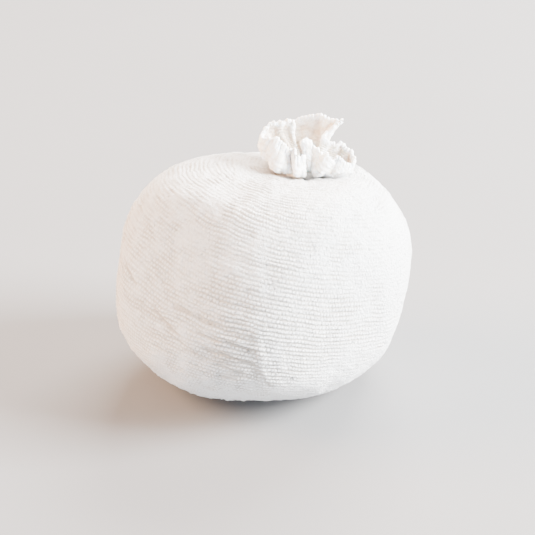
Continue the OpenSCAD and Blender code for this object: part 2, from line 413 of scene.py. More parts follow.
# ---------------------------------------------------------------------------
# The pouch: outer skin with real rows of knitting, and a plain inner skin.
# ---------------------------------------------------------------------------
# Knitted rows from neck to base, points down each row, points round the ball, loops round it.
COURSES = 95
PER_COURSE = 4
COLUMNS = 242
WALES = 236
# The inner skin is coarser: points down it, and points round it.
IN_ROWS, IN_COLS = 58, COLUMNS // 2
T_MOUTH = math.asin(MOUTH_R / MOUTH_AT)
T_END = math.radians(178.6)
# Height of the cloth over one row, from the gap up over the crown and back, and its scale in mm.
ROW_PROFILE = np.array([-1.0, 0.30, 0.62, 0.30])
ROW_DEPTH = 0.145
# The lowest the outer and the inner skin may go, in mm above the table.
OUTER_FLOOR, INNER_FLOOR = 0.02, 0.7


# The camera looks down by this angle. Its own up and back directions follow.
TILT = math.radians(27)
VIEW_UP = np.array([0, math.sin(TILT), math.cos(TILT)])
VIEW_BACK = np.array([0, -math.cos(TILT), math.sin(TILT)])


def toward(right, up, near):
    """A direction given as it is seen by the camera."""
    return unit(np.array([right, 0, 0]) + up * VIEW_UP + near * VIEW_BACK)


def angle_from(u, at):
    return np.arccos(np.clip(u @ toward(*at), -1, 1))


def along(p, a, b):
    """For each direction p: the share of the way from a to b, and the distance off that line in mm."""
    a, b = unit(a), unit(b)
    n = unit(np.cross(a, b))
    m = np.cross(n, a)
    full = math.atan2(float(b @ m), float(b @ a))
    x = np.arctan2(p @ m, p @ a) / full
    return x, np.arcsin(np.clip(p @ n, -1, 1)) * MEAN_R


# Creases pressed into the cloth: start, end, depth and half width in mm.
CREASES = [
    ((-0.24, -0.42, 0.88), (-0.06, -0.48, 0.88), 0.42, 0.30),
    ((-0.30, -0.48, 0.82), (-0.06, -0.57, 0.82), 0.46, 0.32),
    ((-0.29, -0.57, 0.77), (-0.09, -0.64, 0.76), 0.36, 0.30),
    ((-0.29, -0.64, 0.71), (-0.13, -0.68, 0.72), 0.30, 0.28),
    ((-0.39, -0.46, 0.80), (-0.30, -0.50, 0.81), 0.30, 0.32),
    ((-0.44, -0.36, 0.82), (-0.28, -0.42, 0.86), 0.32, 0.32),
    ((-0.74, -0.20, 0.64), (-0.54, -0.40, 0.74), 0.36, 0.36),
    ((-0.62, -0.18, 0.76), (-0.30, -0.33, 0.90), 0.20, 0.32),
    ((-0.66, -0.34, 0.67), (-0.42, -0.50, 0.76), 0.24, 0.30),
    ((-0.02, -0.29, 0.96), (0.05, -0.33, 0.94), 0.20, 0.28),
    ((0.09, -0.26, 0.96), (0.13, -0.29, 0.95), 0.14, 0.26),
    ((-0.90, 0.10, 0.42), (-0.84, -0.06, 0.54), 0.26, 0.40),
    ((-0.02, -0.62, 0.78), (0.05, -0.73, 0.68), 0.34, 0.32),
]
# The edge where two pressed faces meet, low on the front.
EDGE = ((-0.06, -0.36, 0.93), (-0.01, -0.70, 0.71))
# Crumbs of chalk stuck on the cloth: where, and how far across in mm.
CRUMBS = [
    ((-0.48, 0.24, 0.84), 1.0),
    ((-0.34, 0.06, 0.93), 1.2),
    ((-0.42, 0.16, 0.89), 0.8),
    ((0.22, 0.34, 0.91), 0.9),
    ((-0.30, -0.86, 0.42), 1.0),
    ((0.83, -0.44, 0.34), 1.1),
    ((-0.62, -0.10, 0.77), 0.8),
    ((-0.05, -0.55, 0.83), 1.1),
]


def pressed(u):
    """Creases and the ridge low on the front, in mm outward."""
    d = np.zeros(u.shape[:-1])
    for a, b, depth, width in CREASES:
        x, y = along(u, toward(*a), toward(*b))
        run = ease(x, -0.12, 0.15) * (1 - ease(x, 0.85, 1.12))
        d = d + run * depth * (0.6 * bell(y - 1.6 * width, 1.5 * width) - 1.5 * bell(y, width))
    x, y = along(u, toward(*EDGE[0]), toward(*EDGE[1]))
    run = ease(x, -0.2, 0.3) * (1 - ease(x, 0.8, 1.15))
    d = d + run * (0.40 * bell(y - 0.8, 0.9) - 0.16 * ease(-y, -0.5, 0.5) * bell(y, 2.6))
    for at, size in CRUMBS:
        d = d + 0.45 * size * bell(angle_from(u, at) * MEAN_R, 0.55 * size)
    return d


# Zones of the cloth, each a direction and a spread: where the rows run evenly, where the cloth
# is smooth with powder, and where it is tugged into short wrinkles.
NEAT_ZONE = ((0.35, -0.25, 0.90), 0.60)
CALM_ZONE = ((0.80, 0.10, 0.60), 0.62)
TUG_ZONE = ((-0.42, -0.40, 0.81), 0.46)
# Where the knitting shows clearly and where powder has filled it in: direction, spread, amount.
DUST_ZONES = [
    ((0.30, -0.50, 0.81), 0.46, -0.50),
    ((-0.42, -0.45, 0.79), 0.46, -0.55),
    ((0.10, 0.30, 0.95), 0.40, -0.30),
    ((-0.80, -0.05, 0.60), 0.30, -0.30),
    ((0.85, 0.15, 0.50), 0.50, 0.75),
    ((-0.35, 0.80, 0.45), 0.40, 0.20),
    ((-0.45, 0.45, 0.77), 0.40, 0.28),
    ((-0.35, 0.08, 0.93), 0.26, 0.25),
    ((0.10, -0.52, 0.85), 0.10, 0.40),
]


def dust_mask(p, u):
    """How much powder fills the knitting in: 0 is clear rows, 1 is smoothed over."""
    m = 0.46 + 0.50 * cloud(p, 15, 3, 3) + 1.00 * cloud(p, 2.8, 9, 3)
    for at, spread, amount in DUST_ZONES:
        m = m + amount * bell(angle_from(u, at), spread)
    m = m + 0.60 * ease(-u[..., 2], 0.25, 0.55)
    return np.clip(m, 0.03, 1)


# Pleats running out of the two ends: depth, where, how far they run, how many, their waver.
# Where and how far are degrees, from the neck for the first two and from the base for the last.
NECK_PLEATS = ((0.30, 10, 8, 11, 1), (0.16, 12, 9, 23, 2))
BASE_PLEATS = (0.5, 4, 7, 9, 1)


def pleating(deg, a, waver, kind):
    depth, at, reach, count, share = kind
    return depth * bell(deg - at, reach) * np.cos(count * a + share * waver)


def pouch_base(t, a):
    """The pouch's surface without its knitting, with pleats running out of both ends."""
    deg = np.degrees(t)
    u = direction(t, a)
    waver = 0.9 * noise(u * 6, 1.0, 5)
    pleat = pleating(deg, a, waver, NECK_PLEATS[0]) + pleating(deg, a, waver, NECK_PLEATS[1])
    pleat = pleat + pleating(180 - deg, a, waver, BASE_PLEATS)
    r = cloth_radius(t, a) + pleat
    lumps = 0.45 * cloud(u * MEAN_R, 15, 21, 2)
    keep = 1 - ease(-u[..., 2], 0.55, 0.72)
    r = r + keep * lumps
    return CENTRE + r[..., None] * u, u


# The cloth simulation: a coarse skin of this many rows and columns, for this many frames.
SIM_ROWS, SIM_COLS, SIM_FRAMES = 84, 132, 20
# Spare cloth as a share of its length, and the powder's push outward.
SIM_SLACK, SIM_PRESSURE = 0.04, 4
# Passes of blurring that give the even swell, and the deepest wrinkle kept, in mm.
SWELL_PASSES = 24
WRINKLE_CAP = 0.45


def spread_out(grid, steps):
    """The grid blurred by a few passes of its neighbours, round the columns and along the rows."""
    for _ in range(steps):
        grid = (np.roll(grid, 1, 1) + 2 * grid + np.roll(grid, -1, 1)) / 4
        pad = np.pad(grid, ((1, 1), (0, 0)), mode="edge")
        grid = (pad[:-2] + 2 * grid + pad[2:]) / 4
    return grid


def simulate_wrinkles():
    """How far slack cloth settles in and out of the smooth form, in mm, from a cloth simulation.

    A coarse skin with a little spare cloth is held at the neck and on the table, and the powder
    presses it outward. Only the wrinkles are kept: the smooth swell is taken off again.
    """
    t = np.linspace(T_MOUTH, T_END, SIM_ROWS)
    a = np.arange(SIM_COLS) * 2 * math.pi / SIM_COLS
    T, A = np.meshgrid(t, a, indexing="ij")
    base, _ = pouch_base(T, A)
    out = normals_of(base)
    ob = make_mesh("pouch_settling", base.reshape(-1, 3), grid_faces(SIM_ROWS, SIM_COLS))
    held = ob.vertex_groups.new(name="held")
    still = (np.arange(SIM_ROWS)[:, None] < 2) | (base[..., 2] < 0.3)
    held.add(np.flatnonzero(still.reshape(-1)).tolist(), 1.0, "REPLACE")
    cloth = ob.modifiers.new("settle", "CLOTH")
    cs = cloth.settings
    cs.quality = 5
    cs.mass = 0.02
    cs.use_pressure = True
    cs.uniform_pressure_force = SIM_PRESSURE
    cs.shrink_min = -SIM_SLACK
    cs.vertex_group_mass = "held"
    cs.tension_stiffness = cs.compression_stiffness = 15
    cs.bending_stiffness = 0.05
    cs.effector_weights.gravity = 0
    cloth.point_cache.frame_start, cloth.point_cache.frame_end = 1, SIM_FRAMES
    scene = bpy.context.scene
    first = scene.frame_current
    for f in range(1, SIM_FRAMES + 1):
        scene.frame_set(f)
    settled = ob.evaluated_get(bpy.context.evaluated_depsgraph_get()).data
    co = np.zeros(len(settled.vertices) * 3, np.float32)
    settled.vertices.foreach_get("co", co)
    scene.frame_set(first)
    bpy.data.objects.remove(ob)
    moved = np.sum((co.reshape(base.shape) / MM - base) * out, -1)
    fine = moved - spread_out(moved, SWELL_PASSES)
    return WRINKLE_CAP * np.tanh(spread_out(fine, 1) / WRINKLE_CAP)


def at_angles(grid, T, A):
    """A [row, column] grid over the skin read at angles T and A."""
    r = np.clip((T - T_MOUTH) / (T_END - T_MOUTH), 0, 1) * (SIM_ROWS - 1.001)
    c = A / (2 * math.pi) * SIM_COLS
    i, k = np.floor(r).astype(int), np.floor(c).astype(int)
    fr, fc = r - i, c - k
    k, k1 = k % SIM_COLS, (k + 1) % SIM_COLS
    low = grid[i, k] * (1 - fc) + grid[i, k1] * fc
    return low * (1 - fr) + (grid[i + 1, k] * (1 - fc) + grid[i + 1, k1] * fc) * fr


def even_rows(share):
    """Angles from the neck, [row, column], that lie at the same shares of the cloth's length."""
    a = np.arange(COLUMNS) * 2 * math.pi / COLUMNS
    fine_t = np.linspace(T_MOUTH, T_END, 360)
    path = pouch_base(*np.meshgrid(fine_t, a, indexing="ij"))[0]
    run = np.cumsum(np.linalg.norm(np.diff(path, axis=0), axis=-1), axis=0)
    run = np.concatenate([np.zeros((1, COLUMNS)), run])
    T = np.stack([np.interp(share, run[:, k] / run[-1, k], fine_t) for k in range(COLUMNS)], -1)
    return T, np.broadcast_to(a, T.shape)


def knitted_skin():
    """The pouch's outer skin, with how dusty each point is and how much painted shade its crease or wrinkle
    valley gets.
    """
    rows = COURSES * PER_COURSE + 1
    i = np.arange(rows)
    T, A = even_rows(i / (rows - 1))
    # Rows wander a little, as the cloth was stretched unevenly.
    free = ease(np.degrees(T), 12, 30) * (1 - ease(np.degrees(T), 158, 174))
    u0 = direction(T, A)
    neat = bell(angle_from(u0, NEAT_ZONE[0]), NEAT_ZONE[1])
    at = u0 * MEAN_R
    sway = 0.9 * cloud(at, 17, 31, 2) + 0.36 * noise(at, 4.2, 33)
    T = T + free * np.radians(sway + (0.36 - 0.22 * neat) * noise(at, 1.7, 35))
    base, u = pouch_base(T, A)
    dust = dust_mask(base, u)
    calm = bell(angle_from(u, CALM_ZONE[0]), CALM_ZONE[1])
    tug = bell(angle_from(u, TUG_ZONE[0]), TUG_ZONE[1])
    # Each row is lumpy along its length, not quite in step with the next row.
    course = (i / PER_COURSE)[:, None] + 0 * A
    along_row = A * MEAN_R * np.sin(T)
    lumpy = noise(np.stack([np.floor(course) * 3.1, along_row / 1.9, 0 * A], -1), 1.0, 77)
    wrinkle = noise(np.stack([course / 1.25, along_row / 8.0, 0 * A], -1), 1.0, 79)
    # Rows are shallow near the neck, where powder fills them and where they are scuffed.
    fine = ease(np.degrees(T), 9, 26) * 0.7 + 0.3
    scuff = np.clip(1 + 0.8 * cloud(base, 2.2, 41, 2), 0.3, 2)
    depth = ROW_DEPTH * fine * (1 - 0.84 * dust) * scuff * (1 + 0.8 * lumpy) * (1 + 0.7 * tug)
    # The rest face stays nearly flat.
    keep_flat = 1 - 0.6 * ease(-u[..., 2], 0.80, 0.92)
    d = depth * ROW_PROFILE[i % PER_COURSE][:, None] * keep_flat
    d = d + (0.03 + 0.15 * tug) * wrinkle * keep_flat
    # Caked powder, the simulated wrinkles, a crust low down, and the pressed creases.
    cake = (0.14 + 0.10 * dust) * (1 - 0.6 * calm) * cloud(base, 1.3, 61, 2)
    d = d + 0.14 * cloud(base, 3.2, 51, 2) + cake
    d = d + (0.35 + 0.65 * tug) * at_angles(simulate_wrinkles(), T, A)
    d = d + 0.15 * ease(-u[..., 2], 0.35, 0.62) * keep_flat * noise(base, 1.0, 63)
    marks = pressed(u)
    d = d + marks
    # Painted shade: darker in the pressed creases and in the valleys of tugged wrinkles.
    painted_shade = np.clip(-marks / 0.45, 0, 1) + np.clip(-wrinkle, 0, 1) * tug * 0.6
    p = base + normals_of(base) * d[..., None]
    p[..., 2] = np.maximum(p[..., 2], OUTER_FLOOR)
    return p, dust, painted_shade


def inner_skin():
    """The side of the cloth that lies against the powder."""
    t = T_MOUTH + (math.pi - 0.03 - T_MOUTH) * np.arange(IN_ROWS) / (IN_ROWS - 1)
    T, A = np.meshgrid(t, np.arange(IN_COLS) * 2 * math.pi / IN_COLS, indexing="ij")
    base, u = pouch_base(T, A)
    inner = base - CLOTH_T * u
    inner[..., 2] = np.maximum(inner[..., 2], INNER_FLOOR)
    return inner


def build_pouch():
    p, dust, painted_shade = knitted_skin()
    inner = inner_skin()
    pts = [*p.reshape(-1, 3), p[-1].mean(0), *inner.reshape(-1, 3), inner[-1].mean(0)]
    rows = len(p)
    n_out = rows * COLUMNS
    n_in = IN_ROWS * IN_COLS
    b = n_out + 1
    faces = grid_faces(rows, COLUMNS)
    faces += fan(n_out - COLUMNS, COLUMNS, n_out, flip=True)
    faces += grid_faces(IN_ROWS, IN_COLS, b, flip=True)
    faces += fan(b + n_in - IN_COLS, IN_COLS, b + n_in)
    # The mouth: two outer points meet each inner one.
    for k in range(IN_COLS):
        o0, o1, o2 = 2 * k, 2 * k + 1, (2 * k + 2) % COLUMNS
        i0, i1 = b + k, b + (k + 1) % IN_COLS
        faces += [(o0, o1, i0), (o1, i1, i0), (o1, o2, i1)]
    ob = make_mesh("pouch_cloth", pts, faces)
    me = ob.data
    rest = len(me.vertices) - n_out
    course = np.repeat(np.arange(rows) / PER_COURSE, COLUMNS)
    set_values(ob, "course", np.append(course, np.zeros(rest)))
    set_values(ob, "dust", np.append(dust, np.ones(rest)))
    # The painted shade of creases and wrinkles, for the material to read.
    set_values(ob, "painted_shade", np.append(painted_shade, np.zeros(rest)))
    # The loop count round the ball is kept per face corner, so that it can start again at the seam.
    loops = np.zeros(len(me.loops), np.int32)
    me.loops.foreach_get("vertex_index", loops)
    col = np.where(loops < n_out, loops % COLUMNS, 0).astype(np.float64)
    starts = np.zeros(len(me.polygons), np.int32)
    totals = np.zeros(len(me.polygons), np.int32)
    me.polygons.foreach_get("loop_start", starts)
    me.polygons.foreach_get("loop_total", totals)
    face_of = np.repeat(np.arange(len(starts)), totals)
    high = np.zeros(len(starts))
    np.maximum.at(high, face_of, col)
    wrapped = (high[face_of] > COLUMNS * 0.75) & (col < COLUMNS * 0.25)
    wale = np.where(loops < n_out, (col + wrapped * COLUMNS) * WALES / COLUMNS, 0)
    set_values(ob, "wale", wale, "CORNER")
    me.materials.append(MAT_KNIT)
    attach(ob, "root")
    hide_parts("pouch")


build_pouch()


# ---------------------------------------------------------------------------
# The neck: gathered cloth inside the tie, the tie, and the frill above it.
# ---------------------------------------------------------------------------
GATHER_R = 3.7
THREAD_D = 0.9
THREAD_R = THREAD_D * 0.46
TURNS = 3
PITCH = 0.86 * THREAD_D
TIE_LO = MOUTH_AT + 0.7
FRILL_AT = TIE_LO + THREAD_D + 2 * PITCH + 0.15
PLEATS = 11
# The gathered cloth's radius below the tie and inside it, and the points round each gather.
GATHER_WIDE, GATHER_TIGHT = 3.85, 3.42
GATHER_ROWS, STUB_ROWS, GATHER_COLS = 26, 30, 132
# The distance between knitted rows where the cloth is gathered.
GATHER_COURSE = 0.9


def gather_mesh(name, h, p, hollow_end):
    """Gathered cloth as a closed plug: rings of points p at heights h, sunk in at the far end."""
    rows, cols = p.shape[:2]
    n = rows * cols
    pts = [*p.reshape(-1, 3), p[0].mean(0), p[-1].mean(0) - hollow_end * AXIS]
    faces = grid_faces(rows, cols, flip=True) + fan(0, cols, n) + fan(n - cols, cols, n + 1, flip=True)
    ob = make_mesh(name, pts, faces)
    set_values(ob, "course", np.append(np.repeat(h / GATHER_COURSE, cols), [0, 0]))
    set_values(ob, "edge", np.zeros(n + 2))
    ob.data.materials.append(MAT_FRILL)
    return ob


def build_neck_gather():
    h = np.linspace(MOUTH_AT - 1.4, FRILL_AT - 0.1, GATHER_ROWS)
    a = np.arange(GATHER_COLS) * 2 * math.pi / GATHER_COLS
    H, A = np.meshgrid(h, a, indexing="ij")
    waist = ease(H, MOUTH_AT - 0.3, TIE_LO)
    pleat = 0.16 * np.cos(PLEATS * A + 0.4 * np.sin(3 * A)) * (1.2 - 0.4 * waist)
    r = (GATHER_WIDE * (1 - waist) + GATHER_TIGHT * waist) + pleat
    r = r + 0.07 * np.cos(2 * PLEATS * A + H)
    r = r + 0.05 * noise(np.stack([A * 6, H * 2, A * 0], -1), 1.0, 4)
    ob = gather_mesh("neck_gather_cloth", h, neck_point(A, r, H), 0.5)
    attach(ob, "root")
    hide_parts("neck_gather")


# The thread's plies: how many, and how far they turn per mm.
STRANDS, TWIST = 3, 5.2


def tube(path, radius, sides, closed=False):
    """Points and faces of a round thread along a path, with its plies twisted round it."""
    path = np.asarray(path, float)
    n = len(path)
    d = (np.roll(path, -1, 0) - np.roll(path, 1, 0)) if closed else np.gradient(path, axis=0)
    d = unit(d)
    pts = []
    run = np.concatenate([[0], np.cumsum(np.linalg.norm(np.diff(path, axis=0), axis=1))])
    for k in range(n):
        e1 = unit(np.cross(d[k], AXIS) + 1e-6)
        e2 = np.cross(e1, d[k])
        for s in range(sides):
            b = 2 * math.pi * s / sides
            r = radius * (1 + (0.16 * abs(math.cos(STRANDS * 0.5 * b + TWIST * run[k])) - 0.10))
            if not closed and k in (0, n - 1):
                r *= 0.55
            pts.append(path[k] + r * (math.cos(b) * e1 + math.sin(b) * e2))
    faces = []
    for k in range(n if closed else n - 1):
        for s in range(sides):
            i0, i1 = k * sides + s, k * sides + (s + 1) % sides
            j0, j1 = ((k + 1) % n) * sides + s, ((k + 1) % n) * sides + (s + 1) % sides
            faces.append((i0, i1, j1, j0))
    if not closed:
        faces.append(tuple(range(sides))[::-1])
        faces.append(tuple((n - 1) * sides + s for s in range(sides)))
    return pts, faces


# Where the knot lies round the neck: the back.
KNOT_AT = math.radians(105)


def build_neck_tie():
    r0 = GATHER_R + THREAD_D / 2 + 0.02
    pts, faces = [], []

    def add(path, closed=False):
        p, f = tube(path, THREAD_R, 14, closed)
        base = len(pts)
        pts.extend(p)
        faces.extend([tuple(base + i for i in q) for q in f])

    b = np.linspace(0, TURNS * 2 * math.pi, 330)
    start = KNOT_AT
    h = TIE_LO + THREAD_D / 2 + PITCH * 2 * np.clip(b / (TURNS * 2 * math.pi), 0, 1)
    add(neck_point(start + b, r0 + 0.06 * np.sin(3.3 * b), h))
    # The knot: two short loops over the turns, and two cut tails.
    q = np.linspace(0, 2 * math.pi, 40, endpoint=False)[:, None]
    middle = TIE_LO + THREAD_D / 2 + PITCH
    c = neck_point(np.array(start), np.array(r0 + 0.55), np.array(middle))
    rad = math.cos(start) * SIDE + math.sin(start) * BACK
    tan = np.cross(AXIS, rad)
    add(c + 0.95 * np.cos(q) * AXIS + 0.75 * np.sin(q) * tan + 0.25 * np.cos(2 * q) * rad, closed=True)
    add(c + 0.75 * np.cos(q) * tan + 0.8 * np.sin(q) * (0.5 * AXIS + 0.6 * rad), closed=True)
    x = np.linspace(0, 1, 16)[:, None]
    sag = rad * (0.5 + 2.2 * x - 0.4 * x * x) + AXIS * (0.1 + 0.8 * x - 1.6 * x * x)
    for s in (-1, 1):
        add(c + s * tan * (0.4 + 3.4 * x) + sag)
    ob = make_mesh("neck_tie_thread", pts, faces)
    ob.data.materials.append(MAT_THREAD)
    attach(ob, "root")
    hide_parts("neck_tie")


# The frill's cut edge, going round from the right through the back, in the neck's own frame:
# each stop gives the rim and, below it, the belly of the fold, as right, back and up in mm.
FRILL_STOPS = [
    ((1.9, 1.2, 7.0), (2.0, 1.4, 3.8)),  # fold between the right lobe and the leaf
    ((2.9, 2.4, 8.8), (2.6, 2.4, 4.2)),  # leaf, its right edge
    ((4.2, 3.6, 10.8), (3.0, 4.4, 4.8)),
    ((5.0, 4.4, 12.0), (3.2, 6.6, 5.4)),  # its pointed tip
    ((3.0, 5.8, 11.4), (2.6, 8.4, 5.8)),
    ((0.2, 7.0, 10.6), (0.6, 9.4, 5.4)),
    ((-2.6, 7.8, 9.2), (-2.4, 9.8, 4.6)),
    ((-4.8, 8.2, 7.6), (-5.0, 10.0, 3.2)),
    ((-6.6, 8.8, 5.6), (-7.2, 10.8, 0.8)),  # its low end at the back
    ((-8.6, 8.4, 4.2), (-9.8, 9.8, -0.8)),
    ((-9.6, 6.4, 4.2), (-10.8, 7.4, -0.2)),
    ((-6.4, 4.6, 6.0), (-5.0, 3.6, 3.0)),  # fold
    ((-6.0, 3.8, 7.4), (-6.2, 4.2, 3.0)),  # left lobe, a cup open to the right
    ((-8.2, 4.2, 7.8), (-9.2, 5.0, 2.6)),
    ((-10.2, 3.4, 6.6), (-11.4, 4.4, 1.4)),
    ((-11.8, 2.0, 4.8), (-13.2, 2.4, -0.2)),
    ((-12.6, 0.2, 3.2), (-13.8, -0.6, -1.8)),
    ((-11.9, -1.5, 3.6), (-13.4, -4.2, -4.0)),
    ((-10.0, -2.7, 4.4), (-11.8, -8.0, -6.0)),
    ((-7.8, -3.4, 4.4), (-9.0, -10.6, -6.6)),
    ((-5.8, -3.8, 3.4), (-5.8, -10.2, -6.0)),
    ((-4.6, -2.6, 2.4), (-3.8, -7.6, -3.2)),  # hollow
    ((-4.8, -4.4, 3.6), (-3.6, -7.4, -2.4)),  # narrow front fold, leaning right to its foot
    ((-3.8, -5.8, 3.0), (-1.6, -10.0, -4.8)),
    ((-2.2, -5.0, 2.8), (0.4, -8.2, -3.8)),
    ((-1.6, -2.8, 3.4), (0.0, -6.4, -2.0)),
    ((-3.0, -1.6, 5.6), (-0.8, -5.2, -0.2)),  # fold standing up in the middle
    ((-2.2, -1.2, 6.4), (-0.2, -5.4, 0.2)),
    ((-0.8, -1.4, 6.2), (0.4, -5.2, 0.0)),
    ((0.8, -2.4, 5.2), (0.6, -5.0, -0.2)),
    ((2.6, -4.0, 5.2), (0.8, -6.4, -1.0)),  # front right fold, leaning left to its foot
    ((4.2, -5.0, 4.9), (1.8, -8.4, -2.6)),
    ((5.2, -3.8, 4.6), (3.4, -6.0, -1.4)),
    ((6.2, -3.0, 4.8), (6.4, -6.6, -1.8)),
    ((8.2, -3.6, 4.4), (9.2, -7.8, -3.2)),  # right lobe
    ((10.0, -2.6, 4.6), (11.6, -5.8, -2.6)),
    ((10.7, -0.6, 5.2), (12.8, -1.4, -0.6)),
    ((9.6, 1.4, 6.2), (11.4, 2.4, 1.2)),
    ((7.2, 2.8, 6.6), (8.2, 4.2, 2.6)),
    ((4.6, 2.6, 6.5), (5.0, 3.8, 3.0)),
]
# Where the first stop's foot stands round the neck.
FRILL_START = math.radians(28)
# Points up the cloth and round it, and points between two stops.
FRILL_ROWS, FRILL_COLS, STOP_STEPS = 44, 520, 24
FRILL_T = 0.66
# The gap kept between the frill and the ball it rests on.
FRILL_GAP = 0.25
# Knitted rows from the frill's foot to its cut edge.
FRILL_COURSES = 13.0
# The hollow middle of the frill, darkened with painted shade: round the neck, out and up, and size.
HOLLOW_SHADE_AT = (math.radians(153), 5.6, FRILL_AT + 3.8)
HOLLOW_SHADE_SIZE = 4.0


def closed_spline(stops):
    """A smooth closed line through the stops."""
    p = np.asarray(stops, float)
    x = (np.arange(STOP_STEPS) / STOP_STEPS)[None, :, None]
    a, b, c, d = (np.roll(p, k, 0)[:, None, :] for k in (1, 0, -1, -2))
    out = 0.5 * (2 * b + (c - a) * x + (2 * a - 5 * b + 4 * c - d) * x * x + (3 * b - a - 3 * c + d) * x**3)
    return out.reshape(-1, p.shape[1])


def clear_of_pouch(p, gap):
    """Moves points that are nearer than gap to the pouch out of it."""
    v = p - CENTRE
    r = np.linalg.norm(v, axis=-1)
    u = v / r[..., None]
    t = np.arccos(np.clip(u @ AXIS, -1, 1))
    a = np.arctan2(u @ BACK, u @ SIDE)
    least = cloth_radius(np.maximum(t, T_MOUTH), a) + gap
    short = np.where(t > T_MOUTH, np.maximum(0, least - r), 0)
    return p + u * short[..., None]


def evenly_spaced(line, count):
    """Points at even steps along the closed line, and how far along each one lies."""
    halves = [np.linalg.norm(np.roll(h, -1, 0) - h, axis=1) for h in (line[:, :3], line[:, 3:])]
    run = np.concatenate([[0], np.cumsum(sum(halves) / 2)])
    want = np.arange(count) * run[-1] / count
    ring = np.concatenate([line, line[:1]])
    return np.stack([np.interp(want, run, ring[:, c]) for c in range(ring.shape[1])], -1), want, run[-1]


def frill_middle():
    """The middle of the frill's cloth, [row from foot to rim, column], and its two coordinates."""
    line = closed_spline([rim + belly for rim, belly in FRILL_STOPS])
    even, want, length = evenly_spaced(line, FRILL_COLS)
    rim, belly = even[:, :3], even[:, 3:]
    ang = FRILL_START + 2 * math.pi * want / length
    outward = np.stack([np.cos(ang), np.sin(ang), 0 * ang], -1)
    foot = outward * (GATHER_R - 0.75)
    low = ease(-belly[:, 2:3], -3.0, 2.0)
    knee = outward * (GATHER_R + 0.1 + 1.6 * low) + np.array([0, 0, 1.0]) * (2.0 - 1.6 * low)
    v = np.linspace(0, 1, FRILL_ROWS)[:, None, None]
    local = (1 - v) ** 3 * foot + 3 * v * (1 - v) ** 2 * knee
    local = local + 3 * v * v * (1 - v) * belly + v**3 * rim
    p = CENTRE + (FRILL_AT + local[..., 2:3]) * AXIS + local[..., :1] * SIDE + local[..., 1:2] * BACK
    return p, v[..., 0], want


def build_frill():
    p, v, want = frill_middle()
    # Small folds, a bumpy cut edge, and the ball that the lower folds rest on.
    ruffle = 0.75 * v**1.4 * cloud(p, 4.4, 71, 2) + 0.50 * v * cloud(p, 1.9, 73, 2)
    pleat = noise(np.stack([want / 1.5 + 0 * v, 0.8 * v + 0 * want, 0 * v * want], -1), 1.0, 75)
    ruffle = ruffle + 0.55 * ease(v, 0.05, 0.3) * (1 - 0.6 * ease(v, 0.6, 1.0)) * pleat
    p = p + normals_of(p) * ruffle[..., None]
    nibble = noise(np.stack([want, 0 * want, 0 * want], -1), 1.0, 81)
    bumps = 0.20 * np.sin(2 * math.pi * want / 0.95) + 0.60 * nibble
    p = p + AXIS * (bumps * v**12)[..., None]
    p = clear_of_pouch(p, FRILL_T / 2 + FRILL_GAP)
    out = normals_of(p)
    course = FRILL_COURSES * v
    thick = FRILL_T * (1 + 0.3 * cloud(p, 1.5, 83, 2)) * (1 + 0.4 * v**6)
    thick = thick + 0.08 * np.cos(2 * math.pi * course)
    outer = p + out * (thick / 2)[..., None]
    inner = p - out * (thick / 2)[..., None]
    # A rounded cut edge between the two faces.
    lip = []
    grow = unit(p[-1] - p[-3])
    for q in (45, 90, 135):
        across, up = math.cos(math.radians(q)), math.sin(math.radians(q))
        lip.append(p[-1] + (out[-1] * across + grow * up) * (thick[-1] / 2)[..., None])
    rings = np.concatenate([outer, np.stack(lip), inner[::-1]])
    crust = 0.20 * cloud(rings, 1.3, 91, 3)
    skin_n = normals_of(rings)
    # How hollow each point lies, which sets the painted shade in the frill's folds.
    fold_shade = hollow(rings, skin_n, 7, 4)
    rings = rings + skin_n * crust[..., None]
    # The middle of the frill is darkened further with painted shade.
    middle = neck_point(*(np.array(q) for q in HOLLOW_SHADE_AT))
    fold_shade = fold_shade * 0.8 + 0.70 * bell(np.linalg.norm(rings - middle, axis=-1), HOLLOW_SHADE_SIZE)
    # The foot's two rings are joined, which closes the cloth.
    m = len(rings)
    last = (m - 1) * FRILL_COLS
    faces = grid_faces(m, FRILL_COLS, flip=True)
    for k in range(FRILL_COLS):
        k1 = (k + 1) % FRILL_COLS
        faces.append((last + k, last + k1, k1, k))
    ob = make_mesh("frill_cloth", rings.reshape(-1, 3), faces)
    edge = v**10
    course_all = np.concatenate([course, np.full((3, 1), FRILL_COURSES), course[::-1]])[:, 0]
    edge_all = np.concatenate([edge, np.ones((3, 1)), edge[::-1]])[:, 0]
    set_values(ob, "course", np.repeat(course_all, FRILL_COLS))
    set_values(ob, "edge", np.repeat(edge_all, FRILL_COLS))
    set_values(ob, "painted_shade", fold_shade)
    ob.data.materials.append(MAT_FRILL)
    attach(ob, "root")
    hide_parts("frill")


build_neck_gather()
build_neck_tie()
build_frill()


# ---------------------------------------------------------------------------
# Inside the pouch: the turned-in gather, its tie and the powder.
# ---------------------------------------------------------------------------
STUB_AT, STUB_LEN, STUB_R = 25.6, 11.0, 3.4
STUB_TIE = STUB_AT - 4.6
# The gather's radius over STUB_R at heights up from its foot: the skirt, the waist and the open end.
STUB_FORM = [
    (0, 1.2),
    (2.2, 0.4),
    (STUB_AT - STUB_TIE - 0.9, -0.3),
    (STUB_AT - STUB_TIE + 0.9, -0.3),
    (STUB_AT - STUB_TIE + 2.6, 1.0),
    (STUB_LEN, 2.2),
]


